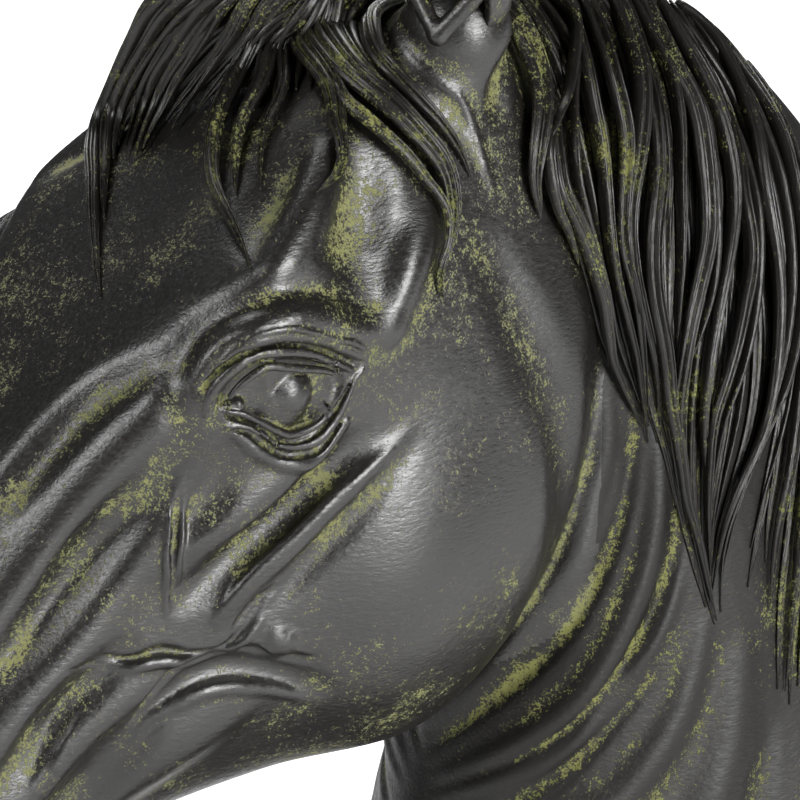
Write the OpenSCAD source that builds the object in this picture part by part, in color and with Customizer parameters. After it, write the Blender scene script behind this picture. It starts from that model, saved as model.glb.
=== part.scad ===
// Horse head bust: hollow bronze castings on a stone plinth.
// The horse faces -Y, its left side is +X, and the origin is the centre of the felt's underside.

/* [Plinth] */
// Length of the plinth, front to back
plinth_l = 184; // [170:1:220]
// Width of the plinth
plinth_w = 122; // [110:1:150]
// Height of the plinth's stone block
plinth_h = 38; // [30:1:60]
// Thickness of the felt under the plinth
felt_t = 2; // [1:0.5:3]

/* [Castings] */
// Wall thickness of the bronze
wall = 4.5; // [3.5:0.5:6]
// Angle of the face below the horizontal
face_angle = 43; // [40:1:46]
// Height of the poll, the top of the skull, above the ground
poll_z = 345; // [340:1:352]
// Length of each ear from its root to its tip
ear_l = 62; // [50:1:66]

/* [Fixing] */
// Diameter of the threaded stud
stud_d = 8; // [6:1:10]
// Diameter of the two locating pins
pin_d = 5; // [4:0.5:6]
// Distance between the two locating pins
pin_gap = 76; // [60:1:90]

/* [Hidden] */

bronze = "#2b2822";
brass = "#b08d4a";
steel = "#9a9da1";
stone = "#17181a";
felt_green = "#24402c";

poll_y = -62;
top_z = felt_t + plinth_h;
section_steps = 3;      // points between two rails of a section
ring_steps = 3;         // rings between two stations
// The castings meet behind the cheek and under the throat: [y, z] corners of the weld.
WELD = [[-24, 400], [-24, 226], [-66, 190], [-90, 150], [-90, 60], [-300, 60], [-300, 400]];
ear_root = [22, poll_y + 12, poll_z - 5];

// Plinth details
step_h = 7;
step_in = 6;
edge = 2.5;
pocket_r = 15;
pocket_h = 16;
plate_t = 6;
boss_h = 12;
boss_r = 11;
washer_t = 2;
nut_h = 6.5;
nut_flats = 13;
stud_play = 0.5;

// ---------- the head, in its own frame ----------
// a runs along the face from the poll to the muzzle, d from the face towards the jaw, w to the left.
// Each station: a, dorsal d, five [w, d] rails down the left side, ventral d.
HEAD = [
    [-10, 26, [ 8, 27], [14, 33], [15, 42], [13, 50], [ 8, 55], 58],
    [  0, 13, [13, 14], [22, 22], [26, 38], [23, 54], [12, 64], 67],
    [ 20,  4, [18,  5], [29, 16], [33, 42], [32, 69], [20, 83], 87],
    [ 44,  1, [24,  2], [37, 10], [38, 42], [37, 78], [25, 97], 101],
    [ 66,  0, [29,  1], [43, 10], [38, 40], [37, 81], [24, 104], 109],
    [ 90,  0, [24,  2], [35, 15], [35, 42], [34, 78], [20, 103], 108],
    [113,  1, [17,  3], [26, 16], [30, 40], [28, 63], [15, 86], 91],
    [138,  4, [13,  6], [21, 17], [25, 34], [22, 52], [13, 70], 76],
    [163,  7, [11,  9], [19, 19], [22, 34], [20, 48], [11, 61], 66],
    [186,  9, [12, 11], [20, 20], [22, 33], [20, 46], [11, 57], 61],
    [205, 12, [14, 15], [24, 23], [23, 35], [20, 47], [12, 59], 64],
    [221, 18, [12, 20], [21, 28], [21, 38], [18, 48], [11, 58], 63],
    [232, 28, [ 8, 29], [14, 34], [15, 41], [13, 49], [ 8, 55], 58],
    [236, 37, [ 3, 37], [ 6, 39], [ 6, 43], [ 6, 47], [ 3, 49], 49]
];

// ---------- the neck ----------
// Each station: crest [y, z], throat [y, z], then half widths near the crest, at the middle, near the throat.
NECK = [
    [[-58, 336], [-54, 300], 12, 16, 13],
    [[-40, 344], [-38, 280], 12, 24, 23],
    [[-14, 340], [-33, 252], 13, 27, 27],
    [[ 12, 328], [-34, 230], 14, 30, 28],
    [[ 35, 309], [-39, 209], 15, 32, 29],
    [[ 56, 281], [-45, 185], 16, 34, 30],
    [[ 72, 244], [-51, 160], 17, 36, 32],
    [[ 81, 198], [-57, 130], 19, 39, 35],
    [[ 86, 148], [-62,  99], 21, 42, 38],
    [[ 87,  94], [-67,  68], 24, 44, 41],
    [[ 86, top_z], [-72, top_z], 27, 46, 43]
];

// ---------- locks of hair ----------
// Each forelock: its half width, then points [a, d, w] in the head's frame.
FORELOCKS = [
    [6, [[-4, 10, -8], [14, 3, -15], [32, 2, -23], [48, 2, -22], [62, 2, -12], [72, 2, -1]]],
    [6, [[-4, 9, -3], [14, 0, -6], [30, -3, -11], [44, -3, -12], [58, -1, -7]]],
    [6, [[-4, 9, 2], [14, -1, 0], [30, -4, 2], [46, -3, 8], [60, -1, 15]]],
    [6, [[-4, 10, 6], [12, 0, 9], [28, -2, 17], [42, 0, 20], [54, 2, 19]]],
    [6, [[-4, 12, 9], [10, 3, 16], [22, 4, 25], [34, 10, 32], [44, 16, 36], [54, 22, 38]]]
];
// Each lock of the mane: its half width, then points [w, y, z].
MANE = [
    [10, [[3, -42, 348], [19, -38, 340], [29, -37, 322], [34, -30, 296], [37, -22, 264], [38, -14, 230]]],
    [10, [[3, -28, 346], [18, -22, 338], [29, -20, 319], [35, -13, 291], [38, -5, 257], [40, -4, 212]]],
    [10, [[3, -13, 342], [18, -7, 334], [30, -4, 312], [36, 3, 284], [40, 10, 250], [41, 8, 200]]],
    [10, [[3, 3, 335], [18, 8, 325], [31, 12, 302], [37, 19, 274], [41, 23, 238], [42, 19, 186]]],
    [10, [[3, 18, 325], [18, 22, 314], [31, 27, 291], [38, 33, 262], [42, 35, 225], [43, 29, 172]]],
    [10, [[3, 32, 312], [18, 35, 300], [31, 39, 277], [38, 45, 248], [43, 46, 210], [44, 40, 158]]],
    [10, [[3, 45, 296], [18, 47, 283], [31, 50, 260], [39, 55, 230], [44, 55, 192], [45, 49, 144]]],
    [10, [[3, 57, 276], [18, 58, 262], [31, 60, 238], [40, 62, 208], [44, 62, 172], [46, 56, 130]]],
    [10, [[3, 68, 252], [17, 68, 237], [31, 68, 214], [40, 69, 186], [45, 67, 156], [46, 62, 118]]]
];

// ---------- features of the face, all as [a, d, w] ----------
EYE = [69, 22, 33];
eye_r = 8;
socket = [11, 7, 5];     // half sizes of the hollow round each eye
NOSTRIL = [211, 29, 23];
nostril = [8, 4.5, 4];
LIPS = [[194, 47, 20.5], [206, 48, 20.5], [218, 48, 19.5], [228, 47, 15.5], [234, 45, 9], [236, 44, 2]];
lips_r = 1.6;
CREST = [[78, 35, 37], [92, 37, 34.5], [106, 38, 31], [120, 39, 27.5], [132, 40, 25]];
crest_r = 3.2;
BROW = [[48, 14, 37], [57, 10, 40.5], [67, 10, 41.5], [77, 16, 38.5]];
brow_r = 4.5;

// ---------- curves and skins ----------
// Catmull-Rom between p1 and p2, for numbers or nested lists of them.
function curve(p0, p1, p2, p3, t) =
    is_list(p1) ? [for (i = [0:len(p1) - 1]) curve(p0[i], p1[i], p2[i], p3[i], t)]
    : 0.5 * (2 * p1 + (p2 - p0) * t + (2 * p0 - 5 * p1 + 4 * p2 - p3) * t * t
        + (3 * p1 - p0 - 3 * p2 + p3) * t * t * t);
function clamped(list, i) = list[max(0, min(len(list) - 1, i))];
function along(list, steps) = [
    for (i = [0:len(list) - 2], k = [0:steps - 1])
        curve(clamped(list, i - 1), list[i], list[i + 1], clamped(list, i + 2), k / steps),
    list[len(list) - 1]
];
function around(loop, steps) = let (n = len(loop)) [
    for (i = [0:n - 1], k = [0:steps - 1])
        curve(loop[(i + n - 1) % n], loop[i], loop[(i + 1) % n], loop[(i + 2) % n], k / steps)
];
function mean(list) = [for (i = [0:len(list[0]) - 1]) sum([for (p = list) p[i]]) / len(list)];
function sum(v, i = 0) = i == len(v) ? 0 : v[i] + sum(v, i + 1);
// A loop drawn towards its centre by a wall's thickness.
function inset(loop, t) = let (c = mean(loop)) [
    for (p = loop) let (r = norm(p - c)) c + (p - c) * max(0.15, 1 - t / r)
];

// The left side's rails and their mirror images make a closed loop.
function mirrored(top, side, bottom) = concat(
    [top], side, [bottom],
    [for (i = [len(side) - 1:-1:0]) [-side[i][0], each [for (k = [1:len(side[i]) - 1]) side[i][k]]]]
);

// From the head's frame [a, d, w] to the row's.
function placed(p) = [
    p[2],
    poll_y - p[0] * cos(face_angle) + p[1] * sin(face_angle),
    poll_z - p[0] * sin(face_angle) - p[1] * cos(face_angle)
];
function head_ring(s) = let (
    loop = mirrored([0, s[1]], [for (k = [2:6]) s[k]], [0, s[7]])
) [for (q = around(loop, section_steps)) placed([s[0], q[1], q[0]])];
function neck_ring(s) = let (
    c = s[0], t = s[1],
    at = function (f, w) [w, c[0] + (t[0] - c[0]) * f, c[1] + (t[1] - c[1]) * f],
    loop = mirrored(at(0, 0), [at(0.06, s[2] * 0.55), at(0.22, s[2] * 1.4), at(0.5, s[3]),
        at(0.78, s[4]), at(0.94, s[4] * 0.6)], at(1, 0)),
    ring = around(loop, section_steps)
) [for (i = [len(ring) - 1:-1:0]) ring[i]];

// A skin through rings of equal length, closed with a flat cap at each end.
module skin(rings) {
    n = len(rings[0]);
    m = len(rings);
    points = [for (r = rings, p = r) p];
    sides = [
        for (j = [0:m - 2], i = [0:n - 1]) let (
            a = j * n + i, b = j * n + (i + 1) % n
        ) each [[a, b, b + n], [a, b + n, a + n]]
    ];
    caps = [[for (i = [n - 1:-1:0]) i], [for (i = [0:n - 1]) (m - 1) * n + i]];
    polyhedron(points, concat(sides, caps), convexity = 10);
}

// A tapered lock: an oval tube along its points, pressed flat on the surface, which faces along outs.
module lock(points, outs, half_w, flat = 0.6, sides = 10, steps = 3) {
    path = along(points, steps);
    facing = along(outs, steps);
    n = len(path);
    skin([
        for (j = [0:n - 1]) let (
            p = path[j],
            run = unit(path[min(n - 1, j + 1)] - path[max(0, j - 1)]),
            side = unit(cross(run, facing[j])),
            up = cross(side, run),
            f = j / (n - 1),
            r = half_w * (0.12 + 0.88 * pow(sin(180 * (0.1 + 0.84 * f)), 0.7))
        ) [for (i = [0:sides - 1]) let (q = 360 * i / sides)
            p + side * r * cos(q) + up * r * flat * sin(q)]
    ]);
}
function unit(v) = v / norm(v);
// Outward from the head's axis, and from the neck's crest or side.
function face_outs(points) = [for (p = points) placed(p) - placed([p[0], 36, 0])];
function neck_outs(points) = [
    for (p = points) let (side = min(1, p[0] / 30)) unit([side, 0.5 * (1 - side), 0.9 * (1 - side)])
];
module forelocks() {
    for (l = FORELOCKS) lock([for (p = l[1]) placed(p)], face_outs(l[1]), l[0]);
}
module mane_locks() { for (l = MANE) lock(l[1], neck_outs(l[1]), l[0]); }

module head_outer() {
    difference() {
        union() {
            skin([for (s = along(HEAD, ring_steps)) head_ring(s)]);
            both_sides() { face_tube(CREST, crest_r); face_tube(BROW, brow_r); }
        }
        both_sides() {
            face_ellipsoid(EYE + [0, 1, 9], socket);
            face_ellipsoid(NOSTRIL, nostril);
            face_tube(LIPS, lips_r);
        }
    }
    both_sides() face_ellipsoid(EYE, [1, 1, 1] * eye_r);
}
module both_sides() { for (side = [-1, 1]) scale([side, 1, 1]) children(); }
module face_tube(points, r) {
    lock([for (p = points) placed(p)], [for (p = points) [1, 0, 0]], r, flat = 1, sides = 8, steps = 2);
}
module face_ellipsoid(centre, sizes) {
    translate(placed(centre)) rotate([face_angle, 0, 0])
        scale([sizes[2], sizes[0], sizes[1]]) sphere(r = 1, $fn = 20);
}
module head_inner() {
    hollow = [for (s = along(HEAD, 1)) if (s[0] >= 0 && s[0] <= 221) s];
    skin([for (s = hollow) inset(head_ring(s), wall)]);
}
module neck_outer() { skin([for (s = along(NECK, ring_steps)) neck_ring(s)]); }
module neck_inner() {
    last = NECK[len(NECK) - 1];
    below = [last[0] - [0, 1], last[1] - [0, 1], last[2], last[3], last[4]];
    hollow = [for (i = [1:len(NECK) - 1]) NECK[i], below];
    skin([for (s = hollow) inset(neck_ring(s), wall)]);
}

// The whole bust's shell, before the foundry cuts it into castings.
module shell() {
    difference() {
        union() { head_outer(); neck_outer(); }
        head_inner();
        neck_inner();
    }
}
module bust_solid() { head_outer(); neck_outer(); }
// The head's side of the weld.
module head_side() {
    rotate([90, 0, 90]) translate([0, 0, -100]) linear_extrude(200) polygon(WELD);
}

// Handing a whole boolean to the mesh kernel: resize by nothing keeps its size.
module as_mesh() { resize([0, 0, 0]) children(); }

// ---------- castings ----------
module head_casting() {
    color(bronze) as_mesh() intersection() { shell(); head_side(); }
}
module neck_casting() {
    color(bronze) as_mesh() difference() { shell(); head_side(); }
}

// An ear is a curled leaf: a crescent section that widens, then closes to the tip.
function ear_ring(f) = let (
    half = 1 + 10.5 * pow(sin(180 * (0.22 + 0.78 * f)), 0.8),
    open = 58 - 22 * f,
    thick = 2.6 - 1.4 * f,
    centre = ear_root + [5 * f + 4 * f * f, -8 * f - 6 * f * f, ear_l * f],
    arc = 10,
    first = open - 40,
    turn = (360 - 2 * open) / arc,
    outer = [for (i = [arc:-1:0]) let (q = first + turn * i) [half * cos(q), half * 0.85 * sin(q), 0]],
    inner = [for (i = [0:arc]) let (q = first + turn * i)
        [(half - thick) * cos(q), (half - thick) * 0.85 * sin(q), 0]]
) [for (p = concat(outer, inner)) p + centre];
module ear_leaf() { skin([for (k = [0:11]) ear_ring(k / 11)]); }
module ear_root_plug() {
    translate(ear_root - [2, 1, 5]) rotate([0, -12, 0]) scale([0.95, 0.85, 1.25]) sphere(r = 11, $fn = 24);
}
module ear(side) {
    color(bronze) as_mesh() scale([side, 1, 1]) difference() {
        union() { ear_leaf(); ear_root_plug(); }
        bust_solid();
    }
}
// Room for the ears in the castings around them.
module ear_blanks() {
    for (side = [-1, 1]) scale([side, 1, 1]) {
        hull() { for (k = [0, 4]) skin([ear_ring(k / 11), ear_ring((k + 1) / 11)]); }
        ear_root_plug();
    }
}

module forelock_casting() {
    color(bronze) as_mesh() difference() {
        forelocks();
        bust_solid();
        ear_blanks();
    }
}
module mane_casting() {
    color(bronze) as_mesh() difference() {
        mane_locks();
        bust_solid();
        ear_blanks();
        forelocks();
    }
}

// ---------- fixing ----------
module mounting_plate() {
    color(bronze) difference() {
        union() {
            translate([0, 0, top_z]) linear_extrude(plate_t) plate_outline();
            translate([0, 0, top_z]) cylinder(r = boss_r, h = plate_t + boss_h, $fn = 48);
        }
        translate([0, 0, top_z - 1]) cylinder(d = stud_d, h = plate_t + boss_h + 2, $fn = 48);
        pin_places() cylinder(d = pin_d, h = plate_t + 2, $fn = 32);
    }
}
// A plate inside the neck's foot: two half discs and a straight middle.
module plate_outline() {
    half_w = 30;
    reach = 30;
    square([2 * half_w, 2 * reach], center = true);
    for (y = [-reach, reach]) translate([0, y]) circle(r = half_w, $fn = 64);
}
module pin_places() {
    for (y = [-pin_gap / 2, pin_gap / 2]) translate([0, y, top_z - 1]) children();
}
module threaded_stud() {
    low = felt_t + 3;
    color(steel) translate([0, 0, low]) cylinder(d = stud_d, h = top_z + plate_t + boss_h - low, $fn = 48);
}
module locating_pins() {
    color(steel) for (y = [-pin_gap / 2, pin_gap / 2])
        translate([0, y, top_z - 12]) cylinder(d = pin_d, h = 12 + plate_t, $fn = 32);
}
module plinth() {
    lower_h = plinth_h - step_h;
    color(stone) difference() {
        union() {
            translate([0, 0, felt_t]) block(plinth_w, plinth_l, lower_h);
            translate([0, 0, felt_t + lower_h - edge])
                block(plinth_w - 2 * step_in, plinth_l - 2 * step_in, step_h + edge);
        }
        translate([0, 0, felt_t - 1]) cylinder(r = stud_d / 2 + stud_play, h = plinth_h + 2, $fn = 48);
        translate([0, 0, felt_t - 1]) cylinder(r = pocket_r, h = pocket_h + 1, $fn = 64);
        for (y = [-pin_gap / 2, pin_gap / 2])
            translate([0, y, top_z - 12]) cylinder(d = pin_d, h = 13, $fn = 32);
    }
}
// A block with its upright corners and its top edge cut back.
module block(w, l, h) {
    intersection() {
        linear_extrude(h) polygon(cut_corners(w, l, edge));
        rotate([90, 0, 0]) translate([0, 0, -l]) linear_extrude(2 * l) polygon(cut_top(w, h));
        rotate([90, 0, 90]) translate([0, 0, -w]) linear_extrude(2 * w) polygon(cut_top(l, h));
    }
}
function cut_corners(w, l, c) = [
    [w / 2 - c, -l / 2], [w / 2, -l / 2 + c], [w / 2, l / 2 - c], [w / 2 - c, l / 2],
    [-w / 2 + c, l / 2], [-w / 2, l / 2 - c], [-w / 2, -l / 2 + c], [-w / 2 + c, -l / 2]
];
function cut_top(w, h) = [
    [-w / 2, 0], [w / 2, 0], [w / 2, h - edge], [w / 2 - edge, h], [-w / 2 + edge, h], [-w / 2, h - edge]
];
module stud_washer() {
    color(steel) translate([0, 0, felt_t + pocket_h - washer_t]) difference() {
        cylinder(r = 12, h = washer_t, $fn = 48);
        translate([0, 0, -1]) cylinder(r = stud_d / 2 + 0.3, h = washer_t + 2, $fn = 48);
    }
}
module stud_nut() {
    color(steel) translate([0, 0, felt_t + pocket_h - washer_t - nut_h]) difference() {
        cylinder(r = nut_flats / sqrt(3), h = nut_h, $fn = 6);
        translate([0, 0, -1]) cylinder(d = stud_d, h = nut_h + 2, $fn = 48);
    }
}
module felt_pad() {
    margin = 3;
    color(felt_green) linear_extrude(felt_t)
        polygon(cut_corners(plinth_w - 2 * margin, plinth_l - 2 * margin, edge));
}

head_casting();
neck_casting();
forelock_casting();
mane_casting();
ear(1);  // left_ear
ear(-1);  // right_ear
mounting_plate();
threaded_stud();
locating_pins();
plinth();
stud_washer();
stud_nut();
felt_pad();
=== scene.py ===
"""Horse head bust in patinated bronze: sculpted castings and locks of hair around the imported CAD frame.

Every length here is in millimetres until a mesh is made; the scene is in metres.
Face points are [a, d, w]: a along the face from the poll, d from the face towards the jaw, w to the left.
"""

import math

import bmesh
import bpy
import numpy as np
import openvdb as vdb
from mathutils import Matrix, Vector
from mathutils.bvhtree import BVHTree
from mathutils.geometry import tessellate_polygon


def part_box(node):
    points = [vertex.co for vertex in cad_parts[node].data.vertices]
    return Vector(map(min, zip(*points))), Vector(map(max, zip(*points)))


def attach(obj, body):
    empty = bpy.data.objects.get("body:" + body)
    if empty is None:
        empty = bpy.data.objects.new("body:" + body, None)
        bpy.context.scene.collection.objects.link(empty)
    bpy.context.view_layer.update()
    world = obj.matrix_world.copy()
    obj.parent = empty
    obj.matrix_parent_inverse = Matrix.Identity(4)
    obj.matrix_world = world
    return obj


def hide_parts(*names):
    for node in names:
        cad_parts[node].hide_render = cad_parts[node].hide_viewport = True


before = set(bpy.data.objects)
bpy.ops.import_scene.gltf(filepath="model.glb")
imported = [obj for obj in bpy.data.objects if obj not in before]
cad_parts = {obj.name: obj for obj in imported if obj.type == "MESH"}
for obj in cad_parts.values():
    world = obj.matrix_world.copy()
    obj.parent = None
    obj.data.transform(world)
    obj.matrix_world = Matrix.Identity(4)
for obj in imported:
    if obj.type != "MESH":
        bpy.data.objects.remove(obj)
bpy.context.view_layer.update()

MM = 0.001
FACE_ANGLE = math.radians(43)
TOWARDS_NOSE = np.array([0, -math.cos(FACE_ANGLE), -math.sin(FACE_ANGLE)])
TOWARDS_JAW = np.array([0, math.sin(FACE_ANGLE), -math.cos(FACE_ANGLE)])
LEFT = np.array([1.0, 0, 0])
head_low = np.array(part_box("head_casting")[0]) / MM
POLL = np.array([0, head_low[1] + 150.7, head_low[2] + 200.6])


# ---------- tables ----------
def lines_in(text):
    """A table's lines: one that ends with a comma goes on, and one that starts with # is a note."""
    return [line for line in text.strip().replace(",\n", ",").splitlines() if line[0] != "#"]


def numbers_of(text):
    return [[float(c) for c in line.split()] for line in lines_in(text)]


def points_of(text):
    """Points from text: numbers, with commas between the points."""
    return [[float(c) for c in point.split()] for point in text.split(",")]


def parsed(line):
    """The sizes before a line's colon and the points after it."""
    sizes, path = line.split(":")
    return [float(c) for c in sizes.split()], points_of(path)


# ---------- the castings' skins: the same stations as the CAD's ----------
# a, dorsal d, then w and d of five rails down the left side, then ventral d.
HEAD = numbers_of("""
-10 26  8 27  14 33  15 42  13 50  8 55  58
0 13  13 14  22 22  26 38  23 54  12 64  67
20 4  18 5  29 16  33 42  32 69  20 83  87
44 1  24 2  37 10  38 42  37 78  25 97  101
66 0  29 1  43 10  38 40  37 81  24 104  109
90 0  24 2  35 15  35 42  34 78  20 103  108
113 1  17 3  26 16  30 40  28 63  15 86  91
138 4  13 6  21 17  25 34  22 52  13 70  76
163 7  11 9  19 19  22 34  20 48  11 61  66
186 9  12 11  20 20  22 33  20 46  11 57  61
205 12  14 15  24 23  23 35  20 47  12 59  64
221 18  12 20  21 28  21 38  18 48  11 58  63
232 28  8 29  14 34  15 41  13 49  8 55  58
236 37  3 37  6 39  6 43  6 47  3 49  49
""")
# Crest y z, throat y z, then half widths near the crest, at the middle, near the throat.
NECK = numbers_of("""
-58 336  -54 300  12 16 13
-40 344  -38 280  12 24 23
-14 340  -33 252  13 27 27
12 328  -34 230  14 30 28
35 309  -39 209  15 32 29
56 281  -45 185  16 34 30
72 244  -51 160  17 36 32
81 198  -57 130  19 39 35
86 148  -62 99  21 42 38
87 94  -67 68  24 44 41
86 40  -72 40  27 46 43
""")
# Where the head is welded to the neck: [y, z] corners, from the crest to the throat.
WELD = [[-24, 400], [-24, 226], [-66, 190], [-90, 150], [-90, 60]]


def placed(points):
    """[a, d, w] points of the face in the row frame."""
    p = np.atleast_2d(np.asarray(points, float))
    return POLL + p[:, 0:1] * TOWARDS_NOSE + p[:, 1:2] * TOWARDS_JAW + p[:, 2:3] * LEFT


def curve(points, count, closed=False):
    """count points on a Catmull-Rom curve, evenly spaced in the parameter."""
    p = np.asarray(points, float)
    n = len(p)
    t = np.linspace(0, n if closed else n - 1, count, endpoint=not closed)
    i = np.minimum(t.astype(int), n - 1 if closed else n - 2)
    f = (t - i)[:, None]
    if closed:
        a, b, c, d = p[(i - 1) % n], p[i], p[(i + 1) % n], p[(i + 2) % n]
    else:
        a, b, c, d = p[np.maximum(i - 1, 0)], p[i], p[i + 1], p[np.minimum(i + 2, n - 1)]
    return 0.5 * (
        2 * b + (c - a) * f + (2 * a - 5 * b + 4 * c - d) * f**2 + (3 * b - a - 3 * c + d) * f**3
    )


def run_along(path):
    """How far along a path each of its points lies."""
    return np.r_[0, np.cumsum(np.linalg.norm(np.diff(path, axis=0), axis=1))]


def evenly(path, count):
    """count points at equal distances along a path."""
    run = run_along(path[:, :3])
    s = np.linspace(0, run[-1], count)
    return np.column_stack([np.interp(s, run, path[:, k]) for k in range(path.shape[1])])


def unit(vectors):
    return vectors / np.linalg.norm(vectors, axis=1, keepdims=True)


def softened(values, rounds):
    """Values evened out along a path, with its ends kept."""
    values = np.array(values)
    for _ in range(rounds):
        values[1:-1] = (values[:-2] + 2 * values[1:-1] + values[2:]) / 4
    return values


def mirrored_loop(top, side, bottom):
    return [top] + side + [bottom] + [[-p[0], *p[1:]] for p in side[::-1]]


def head_rings(rings, around):
    out = []
    for row in curve(HEAD, rings):
        side = [[row[k], row[k + 1]] for k in range(2, 12, 2)]
        loop = curve(mirrored_loop([0, row[1]], side, [0, row[12]]), around, closed=True)
        out.append(placed(np.column_stack([np.full(around, row[0]), loop[:, 1], loop[:, 0]])))
    return np.array(out)


def neck_rings(rings, around):
    # One more station goes a little way into the plinth
    rows = NECK + [[86, 38, -72, 38, 27, 46, 43]]
    out = []
    for cy, cz, ty, tz, crest, middle, throat in curve(rows, rings):
        def at(f, w):
            return [w, cy + (ty - cy) * f, cz + (tz - cz) * f]

        side = [at(0.06, crest * 0.55), at(0.22, crest * 1.4), at(0.5, middle),
                at(0.78, throat), at(0.94, throat * 0.6)]
        out.append(curve(mirrored_loop(at(0, 0), side, at(1, 0)), around, closed=True)[::-1])
    return np.array(out)


def grid_faces(rows, columns, closed=True):
    """Quads between rows of points, as index rows."""
    last = columns if closed else columns - 1
    j, i = np.meshgrid(np.arange(rows - 1), np.arange(last), indexing="ij")
    a = j * columns + i
    b = j * columns + (i + 1) % columns
    return np.stack([a, b, b + columns, a + columns], -1).reshape(-1, 4)


def closed_skin(rings):
    """Points and triangles of a closed skin through rings."""
    rows, columns = rings.shape[:2]
    points = np.vstack([rings.reshape(-1, 3), rings[0].mean(0), rings[-1].mean(0)])
    quads = grid_faces(rows, columns)
    first, last = rows * columns, rows * columns + 1
    i = np.arange(columns)
    j = (i + 1) % columns
    base = (rows - 1) * columns
    caps = np.vstack([
        np.column_stack([np.full(columns, first), j, i]),
        np.column_stack([np.full(columns, last), base + i, base + j]),
    ])
    return points, np.vstack([quads[:, [0, 1, 2]], quads[:, [0, 2, 3]], caps])


# ---------- clay: signed distances on a grid ----------
def soft_min(a, b, soft):
    h = np.clip(0.5 + 0.5 * (b - a) / soft, 0, 1)
    return b + (a - b) * h - soft * h * (1 - h)


class Clay:
    """A block of signed distances, negative inside."""

    def __init__(self, low, high, step):
        self.step = step
        self.low = np.floor(np.array(low, float) / step) * step
        self.shape = tuple(int(n) for n in np.ceil((np.array(high) - self.low) / step) + 1)
        self.d = None

    def axes(self):
        return [self.low[k] + self.step * np.arange(self.shape[k]) for k in range(3)]

    def places(self):
        """Every point of the grid."""
        return np.stack(np.meshgrid(*self.axes(), indexing="ij"), -1).reshape(-1, 3)

    def fill_from_skin(self, points, triangles, band=6):
        grid = vdb.FloatGrid.createLevelSetFromPolygons(
            points - self.low, triangles=triangles.astype(np.uint32),
            transform=vdb.createLinearTransform(self.step), halfWidth=band)
        self.d = np.full(self.shape, grid.background, np.float32)
        grid.copyToArray(self.d, ijk=(0, 0, 0))
        return self

    def fill_from(self, other):
        self.d = other.at(self.places()).reshape(self.shape).astype(np.float32)
        return self

    def at(self, points):
        """The distance at points, by trilinear interpolation."""
        q = (np.asarray(points) - self.low) / self.step
        q = np.clip(q, 0, np.array(self.shape) - 1.001)
        i = q.astype(int)
        f = (q - i).astype(np.float32)
        out = 0
        for dx in (0, 1):
            wx = f[:, 0] if dx else 1 - f[:, 0]
            for dy in (0, 1):
                wy = f[:, 1] if dy else 1 - f[:, 1]
                for dz in (0, 1):
                    wz = f[:, 2] if dz else 1 - f[:, 2]
                    out = out + wx * wy * wz * self.d[i[:, 0] + dx, i[:, 1] + dy, i[:, 2] + dz]
        return out

    def slope(self, points):
        """The unit gradient at points, which is the way out."""
        points = np.asarray(points, float)
        e = self.step * 0.75
        g = np.column_stack([
            self.at(points + e * np.eye(3)[k]) - self.at(points - e * np.eye(3)[k]) for k in range(3)
        ])
        return g / np.maximum(np.linalg.norm(g, axis=1, keepdims=True), 1e-9)

    def snapped(self, points, level=0.0, rounds=5):
        """Points moved to where the distance is level."""
        p = np.array(points, float)
        for _ in range(rounds):
            p -= (self.at(p) - level)[:, None] * self.slope(p)
        return p

    def window(self, low, high):
        i0 = np.maximum(np.floor((low - self.low) / self.step).astype(int), 0)
        i1 = np.minimum(np.ceil((high - self.low) / self.step).astype(int) + 1, self.shape)
        if (i1 <= i0).any():
            return None
        return tuple(slice(a, b) for a, b in zip(i0, i1)), i0

    def tube(self, path, radii, soft, cut=False):
        """Adds or cuts a tapered tube."""
        reach = soft + 2 * self.step
        low = (path - radii[:, None]).min(0) - reach
        high = (path + radii[:, None]).max(0) + reach
        window = self.window(low, high)
        if window is None:
            return
        area, i0 = window
        part = self.d[area]
        corner = self.low + i0 * self.step
        dist = np.full(part.shape, 1e3, np.float32)
        for a, b, ra, rb in zip(path[:-1], path[1:], radii[:-1], radii[1:]):
            r = max(ra, rb) + reach
            s0 = np.maximum(np.floor((np.minimum(a, b) - r - corner) / self.step).astype(int), 0)
            s1 = np.minimum(np.ceil((np.maximum(a, b) + r - corner) / self.step).astype(int) + 1, part.shape)
            if (s1 <= s0).any():
                continue
            sub = tuple(slice(p, q) for p, q in zip(s0, s1))
            x, y, z = [
                (corner[k] + self.step * np.arange(s0[k], s1[k]) - a[k]).astype(np.float32)
                for k in range(3)
            ]
            x, y, z = x[:, None, None], y[None, :, None], z[None, None, :]
            ab = (b - a).astype(np.float32)
            t = np.clip((x * ab[0] + y * ab[1] + z * ab[2]) / max(float(ab @ ab), 1e-9), 0, 1)
            q = np.sqrt((x - t * ab[0]) ** 2 + (y - t * ab[1]) ** 2 + (z - t * ab[2]) ** 2)
            q -= ra + (rb - ra) * t
            np.minimum(dist[sub], q, out=dist[sub])
        if cut:
            self.d[area] = -soft_min(-part, dist, soft)
        else:
            self.d[area] = soft_min(part, dist, soft)

    def mesh(self):
        """Vertices, quads and outward normals of the surface."""
        grid = vdb.FloatGrid(float(np.abs(self.d).max()))
        grid.copyFromArray(self.d)
        grid.transform = vdb.createLinearTransform(self.step)
        points, quads = grid.convertToQuads(0.0)
        points = points.astype(float) + self.low
        a, b, c = points[quads[:, 0]], points[quads[:, 1]], points[quads[:, 2]]
        n = np.cross(b - a, c - a)
        if (n * self.slope(a)).sum() < 0:
            quads = quads[:, ::-1]
        return points, quads.astype(int)


def edges_of(faces):
    """The unique edges of quads."""
    k = faces.shape[1]
    e = np.vstack([faces[:, [i, (i + 1) % k]] for i in range(k)])
    e.sort(axis=1)
    return np.unique(e, axis=0)


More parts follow.
